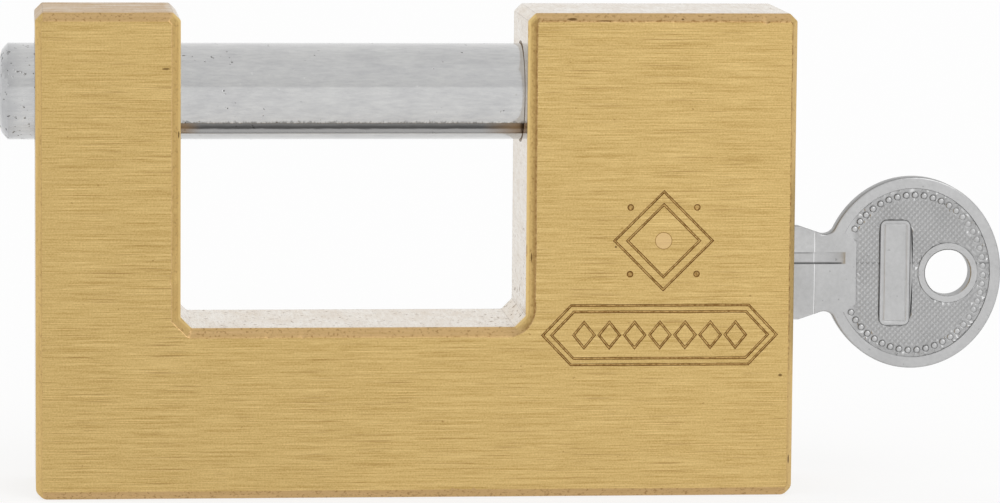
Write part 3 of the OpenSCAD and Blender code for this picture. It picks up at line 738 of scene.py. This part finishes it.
def rims_of(triangles):
    """The closed loops of edges that only one triangle has."""
    count = {}
    for t in triangles:
        for a, b in zip(t, t[1:] + t[:1]):
            edge = frozenset((a, b))
            count[edge] = count.get(edge, 0) + 1
    beside = {}
    for edge, times in count.items():
        if times == 1:
            a, b = edge
            beside.setdefault(a, []).append(b)
            beside.setdefault(b, []).append(a)
    rims = []
    while beside:
        start = next(iter(beside))
        loop = [start]
        here = beside.pop(start)[0]
        while here != start:
            ahead = [v for v in beside.pop(here) if v != loop[-1]]
            loop.append(here)
            here = ahead[0]
        rims.append(loop)
    return rims


def copy_bores(skin, node, planes, finish):
    """Copies the CAD faces that don't lie on the outer planes, and returns the rims where they open there."""
    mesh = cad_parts[node].data
    mesh.calc_loop_triangles()
    places = [v.co / MM for v in mesh.vertices]
    merged = {}
    kept = []
    for triangle in mesh.loop_triangles:
        corners = [places[i] for i in triangle.vertices]
        middle = (corners[0] + corners[1] + corners[2]) / 3
        normal = (corners[1] - corners[0]).cross(corners[2] - corners[0]).normalized()
        on_plane = any(abs((middle - p).dot(n)) < 0.002 and abs(normal.dot(n)) > 0.9999 for p, n in planes)
        if on_plane:
            continue
        ids = []
        for c in corners:
            key = (round(c.x, 3), round(c.y, 3), round(c.z, 3))
            if key not in merged:
                merged[key] = skin.point(c)
            ids.append(merged[key])
        if len(set(ids)) == 3:
            skin.face(ids, finish)
            kept.append(tuple(ids))
    return rims_of(kept)


# ---------- the brass body

def body_outline():
    left = -BODY_W / 2
    right = BODY_W / 2
    gap_left = left + LEFT_LEG_W
    gap_right = right - RIGHT_LEG_W
    c = CORNER_CUT
    k = NOTCH_CORNER_CUT
    corners = [
        (left + c, 0), (right - c, 0), (right, c),
        (right, BODY_H - c), (right - c, BODY_H), (gap_right + c, BODY_H),
        (gap_right, BODY_H - c), (gap_right, NOTCH_FLOOR_Z + k), (gap_right - k, NOTCH_FLOOR_Z),
        (gap_left + k, NOTCH_FLOOR_Z), (gap_left, NOTCH_FLOOR_Z + k), (gap_left, BODY_H - c),
        (gap_left - c, BODY_H), (left + c, BODY_H), (left, BODY_H - c), (left, c)]
    return [Vector(p) for p in corners]


def body_cuts():
    e = END_EDGE_CUT
    f = FLAT_EDGE_CUT
    n = NOTCH_EDGE_CUT
    return [f, e, e, e, f, f, n, n, n, n, n, n, f, e, e, e]


def body_planes(outer, inner):
    """A point and the normal of each outer face of the block: two sides, the walls and their chamfers."""
    half = BODY_D / 2
    planes = [(Vector((0, side * half, 0)), Vector((0, side, 0))) for side in (-1, 1)]
    for i, a in enumerate(outer):
        b = outer[(i + 1) % len(outer)]
        n = inward(a, b)
        planes.append((Vector((a.x, 0, a.y)), Vector((n.x, 0, n.y))))
        for side in (-1, 1):
            at = Vector((a.x, side * (half - EDGE_CUT_DEPTH), a.y))
            along = Vector((b.x - a.x, 0, b.y - a.y))
            across = Vector((inner[i].x, side * half, inner[i].y)) - at
            planes.append((at, along.cross(across).normalized()))
    return planes


# Share of the chamfer's width from the outer line, and share of its depth from the face. Both of the
# chamfer's edges are slightly rounded.
EDGE_PROFILE = [(1.12, 0.0), (1.05, 0.012), (0.99, 0.05), (0.9, 0.13), (0.5, 0.5), (0.12, 0.9), (0.03, 0.985),
                (0.0, 1.1), (0.0, 1.5)]


def body_edge(skin, outer, inner, side, seed):
    """Rings from one face over its chamfer to the walls. The lines of the chamfer wander and have nicks."""
    n = len(outer)
    upper = [a + b for a, b in zip(wander(n, 0.02, 6, seed), nicks(n, 26, 0.3, seed + 1))]
    lower = [abs(a) + b for a, b in zip(wander(n, 0.008, 4, seed + 2), nicks(n, 12, 0.12, seed + 3))]
    hollow = wander(n, 0.004, 8, seed + 4)
    rings = []
    for across, deep in EDGE_PROFILE:
        flats = []
        depths = []
        for k in range(n):
            w = across
            d = deep * EDGE_CUT_DEPTH
            if across > 0.8:
                w += upper[k]
            elif across > 0.3:
                d += hollow[k]
            elif across > 0:
                w += lower[k]
            flats.append(outer[k].lerp(inner[k], w))
            depths.append(side * (BODY_D / 2 - d))
        rings.append(skin.ring(flats, depths))
    for a, b in zip(rings, rings[1:-1]):
        skin.strip(a, b, CHAMFER)
    skin.strip(rings[-2], rings[-1], WALL)
    return rings[0], rings[-1]


def evenly(points, steps):
    """The closed outline with each edge cut into its number of steps."""
    out = []
    for a, b, n in zip(points, points[1:] + points[:1], steps):
        out += [a.lerp(b, k / n) for k in range(n)]
    return out


def groove_loops(skin, corners, seed):
    """A closed engraved line in the front face, as nested loops: side, bottom and side. Its edges wander."""
    steps = [max(2, round((b - a).length / LINE_STEP)) for a, b in zip(corners, corners[1:] + corners[:1])]
    middle = evenly(corners, steps)
    y = -BODY_D / 2
    loops = []
    for k, (share, deep) in enumerate(((-1, 0), (-0.45, 1), (0.45, 1), (1, 0))):
        moved = evenly(inset(corners, share * LINE_HALF), steps)
        drift = wander(len(middle), 0.07, 2, seed + k)
        flats = [p.lerp(q, 1 + w) for p, q, w in zip(middle, moved, drift)]
        depths = [y + deep * LINE_DEPTH * (1 + w) for w in drift]
        loops.append((skin.ring(flats, depths), FACE if k == 3 else CUT))
    return loops


def dimple(skin, x, z, r, depth):
    """A small drilled dimple in the front face. Returns its loops and its middle point."""
    y = -BODY_D / 2
    loops = [(skin.ring(circle(x, z, r, 16), y), CUT),
             (skin.ring(circle(x, z, 0.6 * r, 16), y + 0.75 * depth), CUT)]
    return loops, skin.point((x, y + depth, z))


def lozenge(x, z, rx, rz):
    return [Vector(p) for p in ((x + rx, z), (x, z + rz), (x - rx, z), (x, z - rz))]


PANEL_X = 30.15
PANEL_Z = 20.3
PANEL_HALF_W = 14.6
PANEL_HALF_H = 3.7
PANEL_LOZENGES = 7
LINE_HALF = 0.16
LINE_DEPTH = 0.12
LINE_STEP = 0.24


def panel_outline(grow):
    w = PANEL_HALF_W + grow
    h = PANEL_HALF_H + 0.72 * grow
    s = h * 0.95
    corners = [(w, 0), (w - s, h), (s - w, h), (-w, 0), (s - w, -h), (w - s, -h)]
    return [Vector((PANEL_X + a, PANEL_Z + b)) for a, b in corners]


def ornament(skin):
    """Generic engraving: a double lozenge with four dimples round the pin, and a panel of lozenges below."""
    lines = [lozenge(RETAINER_X, RETAINER_Z, 6.1, 6.1), lozenge(RETAINER_X, RETAINER_Z, 4.5, 4.5),
             panel_outline(0), panel_outline(-1.1)]
    for k in range(PANEL_LOZENGES):
        x = PANEL_X + (k - (PANEL_LOZENGES - 1) / 2) * 3.15
        lines.append(lozenge(x, PANEL_Z, 1.3, 1.6))
    loops = []
    spots = []
    for k, line in enumerate(lines):
        loops += groove_loops(skin, line, 301 + 4 * k)
    for a in (-1, 1):
        for b in (-1, 1):
            rings, middle = dimple(skin, RETAINER_X + 4.15 * a, RETAINER_Z + 4.15 * b, 0.42, 0.2)
            loops += rings
            spots.append(middle)
    loops.append((skin.ring(circle(RETAINER_X, RETAINER_Z, RETAINER_R + SEAM, 48), -BODY_D / 2), CUT))
    return loops, spots


def on_front(p):
    return p[0], p[2]


def rounded_corner(a, b, c, near_a, near_c, t):
    """A point on the short curve that replaces the corner b."""
    p = b.lerp(a, near_a)
    q = b.lerp(c, near_c)
    return p.lerp(b, t).lerp(b.lerp(q, t), t)


def edge_rows(corners, inner_corners):
    """Points of the outline and of the chamfers' inner line, side by side. Each corner is a short curve. Also
    gives for each edge where its straight part starts and ends, and where the curve after it ends."""
    n = len(corners)
    lengths = [(corners[(i + 1) % n] - corners[i]).length for i in range(n)]
    soft = [SOFT_FOOT if p.y < 1.5 * CORNER_CUT else SOFT_REACH for p in corners]
    outer, inner, spans = [], [], []
    for i in range(n):
        j = (i + 1) % n
        k = (i + 2) % n
        steps = max(3, math.ceil(lengths[i] / EDGE_SPACING))
        start = soft[i] / lengths[i]
        end = 1 - soft[j] / lengths[i]
        first = len(outer)
        for line, out in ((corners, outer), (inner_corners, inner)):
            for m in range(steps + 1):
                out.append(line[i].lerp(line[j], start + (end - start) * m / steps))
            for t in (1 / 3, 2 / 3):
                out.append(rounded_corner(line[i], line[j], line[k], 1 - end, soft[j] / lengths[j], t))
        spans.append((first, first + steps, first + steps + 3))
    return outer, inner, spans


def rounded_notch(inner):
    """The chamfer's inner line, rounded at the notch's lower right corner, as in the photograph."""
    r = NOTCH_ROUND
    low = NOTCH_FLOOR_Z - NOTCH_EDGE_CUT
    right = BODY_W / 2 - RIGHT_LEG_W + NOTCH_EDGE_CUT
    out = []
    centre = Vector((right - r, low + r))
    for p in inner:
        away = p - centre
        if away.x > 0 and away.y < 0 and away.length < 1.5 * r:
            p = centre + r * away.normalized()
        out.append(p)
    return out


def countersink(skin, rim, into):
    """Moves a bore's rim into the block and adds a small cut round it. Gives the cut's outer line."""
    places = [Vector(skin.points[v]) for v in rim]
    centre = Vector([(min(p[k] for p in places) + max(p[k] for p in places)) / 2 for k in range(3)])
    outer = [skin.point(p + (p - centre).normalized() * SINK) for p in places]
    for v, p in zip(rim, places):
        skin.points[v] = tuple(p + into * SINK)
    skin.strip(rim, outer, BORE)
    skin.mark(outer)
    return outer


def build_body(materials):
    skin = Skin()
    corners = body_outline()
    inner_corners = inset(corners, body_cuts())
    outer, inner, spans = edge_rows(corners, inner_corners)
    inner = rounded_notch(inner)
    rims = copy_bores(skin, "body", body_planes(corners, inner_corners), BORE)
    front_top, front_wall = body_edge(skin, outer, inner, -1, 11)
    back_top, back_wall = body_edge(skin, outer, inner, 1, 51)

    half = BODY_D / 2
    on_face = {side: [r for r in rims if all(abs(skin.points[v][1] - side * half) < 0.01 for v in r)]
               for side in (-1, 1)}
    loops, spots = ornament(skin)
    front = [(front_top, FACE)] + loops + [(r, None) for r in on_face[-1]]
    skin.fill(front, on_front, lambda v: (v.x, -half, v.y), spots)
    back = [(back_top, FACE)] + [(r, None) for r in on_face[1]]
    skin.fill(back, on_front, lambda v: (v.x, half, v.y))

    total = len(outer)
    for i, (first, last, after) in enumerate(spans):
        a = corners[i]
        b = corners[(i + 1) % len(corners)]
        row_front, row_back = [[wall[k % total] for k in range(first, last + 1)] for wall in (front_wall, back_wall)]
        for k, finish in zip(range(last, after), (WALL, CORNER, WALL)):
            ahead = (k + 1) % total
            skin.face((front_wall[k % total], front_wall[ahead], back_wall[ahead], back_wall[k % total]), finish)
        along = (b - a).normalized()
        side = inward(a, b)
        holes = [r for r in rims if all(abs((Vector(on_front(skin.points[v])) - a).dot(side)) < 0.01 for v in r)]
        if abs(side.x) > 0.99:
            into = Vector((side.x, 0, side.y))
            holes = [countersink(skin, r, into) if skin.points[r[0]][2] > BOLT_Z - 9 else r for r in holes]
        if holes:
            loop = row_front + row_back[::-1]
            skin.fill([(loop, WALL)] + [(r, None) for r in holes],
                      lambda p: ((Vector((p[0], p[2])) - a).dot(along), p[1]),
                      lambda v: (a.x + along.x * v.x, v.y, a.y + along.y * v.x))
        else:
            skin.strip(row_front, row_back, WALL, closed=False)
    piece = skin.object("body_block", "housing", materials)
    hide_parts("body")
    return piece


# ---------- the key

SLOPE = 0.03
KEY_EDGE = [(1.0, 0.0), (0.3, 0.3), (0.0, 1.0)]
EDGE_HEAD = 0.16
EDGE_BLADE = 0.02
BEAD_R = 0.4
BEAD_PITCH = 1.14
BEAD_LINE = 2.25
BEAD_END = 7.75
BEAD_H = 0.13
BEAD_WEAR = 0.55
MOAT = 0.08
MOAT_DEPTH = 0.035
TABLET_H = 0.1
KNURL_X = 0.36
KNURL_Z = 0.38
KNURL_H = 0.1
PLATE_X = (59.2, 62.9)
PLATE_HALF_Z = 6.6
HEAD_LEVEL = BOW_T / 2
BLADE_LEVEL = BLADE_T / 2
FLOOR_LEVEL = HEAD_LEVEL - FIELD_DEPTH


def in_ellipse(p, less):
    return ((p.x - BOW_X) / (BOW_RX - less)) ** 2 + (p.y / (BOW_RZ - less)) ** 2 < 1


def head_half():
    """The head's outline above the key's axis, from the shoulder to the right end of the bow."""
    line = [Vector((SHOULDER_X, SHOULDER_HALF)), Vector((NECK_X - SLOPE_L, SHOULDER_HALF))]
    centre = Vector((NECK_X, NECK_HALF + NECK_R))
    angle = math.atan2(-0.93, -0.35)
    while True:
        p = centre + NECK_R * Vector((math.cos(angle), math.sin(angle)))
        if in_ellipse(p, 0):
            break
        line.append(p)
        angle += math.radians(6)
    start = math.atan2(p.y / BOW_RZ, (p.x - BOW_X) / BOW_RX)
    steps = 110
    for k in range(steps + 1):
        a = start * (1 - k / steps)
        line.append(Vector((BOW_X + BOW_RX * math.cos(a), BOW_RZ * math.sin(a))))
    return line


def blade_top():
    """The blade's top with its cuts, from the shoulder to the tip."""
    line = [Vector((SHOULDER_X, BLADE_TOP)), Vector((PIN_X[0] + CUT_FLAT + 1, BLADE_TOP))]
    for x, z in zip(PIN_X, CUT_Z):
        line += [Vector((x + CUT_FLAT, z)), Vector((x - CUT_FLAT, z))]
    return line + [Vector((BLADE_TIP_X, -0.6)), Vector((BLADE_TIP_X, 1.3 - BLADE_BACK))]


def with_crossings(points, axis, value, low, high):
    """The outline with a point added wherever it crosses a line x = value or z = value."""
    out = []
    for a, b in zip(points, points[1:] + points[:1]):
        out.append(a)
        if (a[axis] - value) * (b[axis] - value) < 0:
            p = a.lerp(b, (value - a[axis]) / (b[axis] - a[axis]))
            if low < p.x < high and (p - a).length > 1e-4 and (p - b).length > 1e-4:
                out.append(p)
    return out


def key_outline():
    """Anticlockwise outline of the whole key about its axis, with a point at each end of the level lines."""
    upper = head_half()
    lower = [Vector((p.x, -p.y)) for p in upper]
    back = [Vector((BLADE_TIP_X + 1.3, -BLADE_BACK)), Vector((SHOULDER_X, -BLADE_BACK))]
    points = back + lower[:-1] + upper[::-1] + blade_top()
    for value in (STEP_X, STEP_X - SLOPE):
        points = with_crossings(points, 0, value, STEP_X - 1, STEP_X + 1)
    for middle, width in WARDS.values():
        for value in (middle - width / 2, middle + width / 2):
            points = with_crossings(points, 1, value, 0, SHOULDER_X)
        for value in (middle - width / 2 + SLOPE, middle + width / 2 - SLOPE):
            points = with_crossings(points, 1, value, 0, SHOULDER_X)
    return points


def key_level(p, side):
    """Half thickness of the key at a place on its front (-1) or back (1)."""
    middle, width = WARDS[side]
    if abs(p.y - middle) < (width - SLOPE) / 2 and p.x < WARD_END_X - SLOPE / 2:
        return BLADE_LEVEL - WARD_DEPTH
    return HEAD_LEVEL if p.x > STEP_X - SLOPE / 2 else BLADE_LEVEL


def key_edge_rings(skin, outline, side):
    """Rings from the flat to the outline's line, with a rounded edge on the head."""
    rings = []
    share = [min(1, max(0, (p.x - STEP_X - 0.3) / 0.6)) for p in outline]
    cuts = [EDGE_BLADE + (EDGE_HEAD - EDGE_BLADE) * s for s in share]
    moved = [mitre(outline[i - 1], p, outline[(i + 1) % len(outline)], c, c)
             for i, (p, c) in enumerate(zip(outline, cuts))]
    for across, deep in KEY_EDGE:
        flats = [p.lerp(q, across) for p, q in zip(outline, moved)]
        depths = [side * (key_level(p, side) - deep * c) for p, c in zip(outline, cuts)]
        rings.append(skin.ring(flats, depths))
    skin.strip(rings[0], rings[1], FLAT)
    skin.strip(rings[1], rings[2], SIDE)
    return rings


def field_line(less):
    """The sunk field's edge: the ellipse inside the rim, closed beside the neck by a straight line between two
    slanted ones."""
    rx = BOW_RX - RIM_W - less
    rz = BOW_RZ - RIM_W - less
    stop = math.acos(-(FIELD_END - less) / rx)
    steps = 124
    arc = [Vector((BOW_X + rx * math.cos(a), rz * math.sin(a)))
           for a in (stop * (2 * k / steps - 1) for k in range(steps + 1))]
    corners = [Vector((BOW_X - FIELD_REACH + less, side * FIELD_STRAIGHT)) for side in (1, -1)]
    slant = [arc[-1].lerp(corners[0], k / 4) for k in range(1, 4)]
    straight = [corners[0].lerp(corners[1], k / 20) for k in range(21)]
    return arc + slant + straight + [Vector((p.x, -p.y)) for p in reversed(slant)]


def bead_places():
    """Evenly spaced along an ellipse inside the rim, and left out at the neck."""
    rx = BOW_RX - BEAD_LINE
    rz = BOW_RZ - BEAD_LINE
    fine = [Vector((BOW_X + rx * math.cos(a), rz * math.sin(a)))
            for a in (math.pi * (k / 2000 - 1) for k in range(4001))]
    places = []
    walked = BEAD_PITCH
    for a, b in zip(fine, fine[1:]):
        walked += (b - a).length
        if walked >= BEAD_PITCH and b.x > BOW_X - BEAD_END:
            places.append(b)
            walked = 0
    return [p for p in places if (p - Vector((RING_HOLE_X, 0))).length > HOLE_RING_R + BEAD_R + 0.15]


def bead_share(p):
    """How much of a bead's height is left: those at the bow's right are worn flatter, as in the photograph."""
    return 1 - BEAD_WEAR * min(1, max(0, (p.x - BOW_X - 2) / 5))


def plate_line(grow):
    """Outline of the bare raised tablet that takes the place of the photographed key's stamping."""
    r = 0.7 + grow
    x0, x1 = PLATE_X
    points = []
    for cx, cz, start in ((x1 - 0.7, PLATE_HALF_Z - 0.7, 0), (x0 + 0.7, PLATE_HALF_Z - 0.7, 90),
                          (x0 + 0.7, 0.7 - PLATE_HALF_Z, 180), (x1 - 0.7, 0.7 - PLATE_HALF_Z, 270)):
        for k in range(5):
            a = math.radians(start + 22.5 * k)
            points.append(Vector((cx + r * math.cos(a), cz + r * math.sin(a))))
    return points


def knurl(skin, side, beads):
    """Small pyramids on a lattice. The valleys between them stay at the field's floor."""
    level = side * FLOOR_LEVEL
    top = side * (FLOOR_LEVEL + KNURL_H)
    hole = Vector((RING_HOLE_X, 0))
    clear = FIELD_REACH - 0.25

    def free(p):
        if p.x < BOW_X - clear or not in_ellipse(p, RIM_W + 0.14) or (p - hole).length < HOLE_RING_R + 0.12:
            return False
        on_tablet = PLATE_X[0] - 0.22 < p.x < PLATE_X[1] + 0.22 and abs(p.y) < PLATE_HALF_Z + 0.22
        return not on_tablet and all((p - b).length > BEAD_R + MOAT + 0.06 for b in beads)

    peaks = []
    valleys = {}
    for i in range(-30, 31):
        for j in range(-34, 35):
            p = Vector((BOW_X + i * KNURL_X, j * KNURL_Z))
            if not free(p):
                continue
            if (i + j) % 2:
                valleys[i, j] = skin.point((p.x, level, p.y))
            else:
                peaks.append(skin.point((p.x, top, p.y)))
    lines = []
    for (i, j), v in valleys.items():
        for step in (1, -1):
            if (i + 1, j + step) in valleys:
                lines.append((v, valleys[i + 1, j + step]))
    return peaks + list(valleys.values()), lines


def crossing(skin, ring, outline, axis, value, pick):
    """The ring's point whose outline point lies on x = value or z = value."""
    found = [ring[i] for i, p in enumerate(outline) if abs(p[axis] - value) < 1e-6 and pick(p)]
    return found[0]


def level_lines(skin, ring, outline, side):
    """The step to the blade's thickness and the two edges of the flank groove, each as a pair of lines."""
    spots = []
    lines = []
    for x in (STEP_X, STEP_X - SLOPE):
        ends = [crossing(skin, ring, outline, 0, x, lambda p, s=s: p.y * s > 0) for s in (1, -1)]
        lines.append(tuple(ends))
    middle, width = WARDS[side]
    deep = side * (BLADE_LEVEL - WARD_DEPTH)
    for less in (0, SLOPE):
        end_x = WARD_END_X - less
        level = side * (HEAD_LEVEL - 0.02 * (less > 0))
        ends = []
        for s in (1, -1):
            z = middle + s * (width / 2 - less)
            edge = crossing(skin, ring, outline, 1, z, lambda p: p.x < SHOULDER_X)
            corner = skin.point((end_x, level, z))
            rising = [skin.point((end_x - WARD_RISE * (1 - t), deep + (level - deep) * t * t, z)) if less
                      else skin.point((end_x - WARD_RISE * (1 - t), level, z)) for t in (0, 0.35, 0.7)]
            row = [edge] + rising + [corner]
            spots += row[1:]
            lines += list(zip(row, row[1:]))
            ends.append(corner)
        lines.append(tuple(ends))
    return spots, lines


def key_face(skin, ring, outline, side, beads):
    floor = side * FLOOR_LEVEL
    head = side * HEAD_LEVEL
    loops = [(ring, FLAT)]
    loops.append((skin.ring(field_line(0), head), FLAT))
    loops.append((skin.ring(field_line(0.07), floor), FLAT))
    spots = []
    for p in beads:
        left = bead_share(p)
        for r, up in ((BEAD_R + MOAT, 0), (BEAD_R, -MOAT_DEPTH), (0.8 * BEAD_R, 0.7 * BEAD_H),
                      (0.5 * BEAD_R, 0.93 * BEAD_H)):
            loops.append((skin.ring(circle(p.x, p.y, r, 16), floor + side * left * up), FLAT))
        spots.append(skin.point((p.x, floor + side * left * BEAD_H, p.y)))
    for grow, up in ((0.12, 0), (0.06, -MOAT_DEPTH), (0, TABLET_H), (-0.34, TABLET_H), (-0.4, TABLET_H - 0.04),
                     (-0.5, TABLET_H - 0.04), (-0.56, TABLET_H)):
        loops.append((skin.ring(plate_line(grow), floor + side * up), FLAT))
    hole = {0.07: floor, 0.0: head}
    for grow, y in hole.items():
        loops.append((skin.ring(circle(RING_HOLE_X, 0, HOLE_RING_R + grow, 72), y), FLAT))
    hole_edge = skin.ring(circle(RING_HOLE_X, 0, RING_HOLE_R + 0.12, 72), head)
    loops.append((hole_edge, None))
    knurl_spots, knurl_lines = knurl(skin, side, beads)
    level_spots, lines = level_lines(skin, ring, outline, side)
    first = len(skin.faces)
    skin.fill(loops, on_front, lambda v: (v.x, side * key_level(v, side), v.y),
              spots + knurl_spots + level_spots, knurl_lines + lines)
    ridged = set(knurl_spots)
    for face in skin.faces[first:]:
        if sum(v in ridged for v in face) > 1:
            skin.mark(face)
    hole_low = skin.ring(circle(RING_HOLE_X, 0, RING_HOLE_R, 72), side * (HEAD_LEVEL - 0.12))
    skin.strip(hole_edge, hole_low, FLAT)
    return hole_low


def build_key(materials):
    skin = Skin()
    outline = key_outline()
    beads = bead_places()
    front = key_edge_rings(skin, outline, -1)
    back = key_edge_rings(skin, outline, 1)
    skin.strip(front[-1], back[-1], SIDE)
    hole_front = key_face(skin, front[0], outline, -1, beads)
    hole_back = key_face(skin, back[0], outline, 1, beads)
    skin.strip(hole_front, hole_back, SIDE)
    skin.points = [(x, y, z + PLUG_Z) for x, y, z in skin.points]
    piece = skin.object("key_blank", "key", materials, smooth=24)
    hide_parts("key")
    return piece


# ---------- dressing

def dress(node, material):
    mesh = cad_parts[node].data
    mesh.materials.clear()
    mesh.materials.append(material)


def dress_all(brushed, steel_parts):
    """The pieces whose CAD shape stays. The turned ones have lathe lines about their own axis."""
    plug = turned("plug_brass", "brass_plug", BRASS, BRASS_DARK, "X", (0, PLUG_Z * MM))
    cam = turned("cam_steel", "inner_steel", STEEL, STEEL_DARK, "X", (0, PLUG_Z * MM))
    dress("plug", plug)
    dress("bolt", steel_parts)
    dress("cam", cam)
    dress("cam_screw", cam)
    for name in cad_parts:
        low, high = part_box(name)
        centre = ((low.x + high.x) / 2, (low.y + high.y) / 2)
        if name.startswith("key_pin"):
            dress(name, turned(name + "_brass", "brass_plug", BRASS, BRASS_DARK, "Z", centre))
        elif name.startswith("driver_pin") or name == "plunger":
            dress(name, turned(name + "_steel", "inner_steel", STEEL, STEEL_DARK, "Z", centre))
        elif "spring" in name:
            dress(name, spring_wire())
        elif name not in ("plug", "bolt", "cam", "cam_screw"):
            dress(name, brushed)


def build_spring():
    """The plunger's spring, as its own copy of the CAD mesh on the housing."""
    piece = bpy.data.objects.new("plunger_coil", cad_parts["plunger_spring"].data.copy())
    bpy.context.scene.collection.objects.link(piece)
    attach(piece, "housing")
    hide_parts("plunger_spring")
    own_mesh(piece)


bpy.context.scene.view_settings.view_transform = "Standard"
make_camera()
make_world()
make_floor()
brushed = brushed_brass()
dress_all(brushed, plated_steel())
dress("cylinder_pin", pin_brass())
bores = turned("bore_brass", "brass_body", BORE_BROWN, BORE_DARK, "X", (0, PLUG_Z * MM))
build_body([brushed, chamfer_brass(), wall_brass(), cut_brass(), bores, wall_brass("corner_brass", 0.55)])
build_spring()
tops = (FLOOR_LEVEL + KNURL_H) * MM
# The key's edges get a darker copy of the nickel, which is painted shade.
build_key([nickel("nickel_plate", NICKEL, NICKEL_SHADE_AND_SPECK, tops), nickel("nickel_edge_shade", NICKEL_EDGE_SHADE, NICKEL_SHADE_AND_SPECK, tops)])
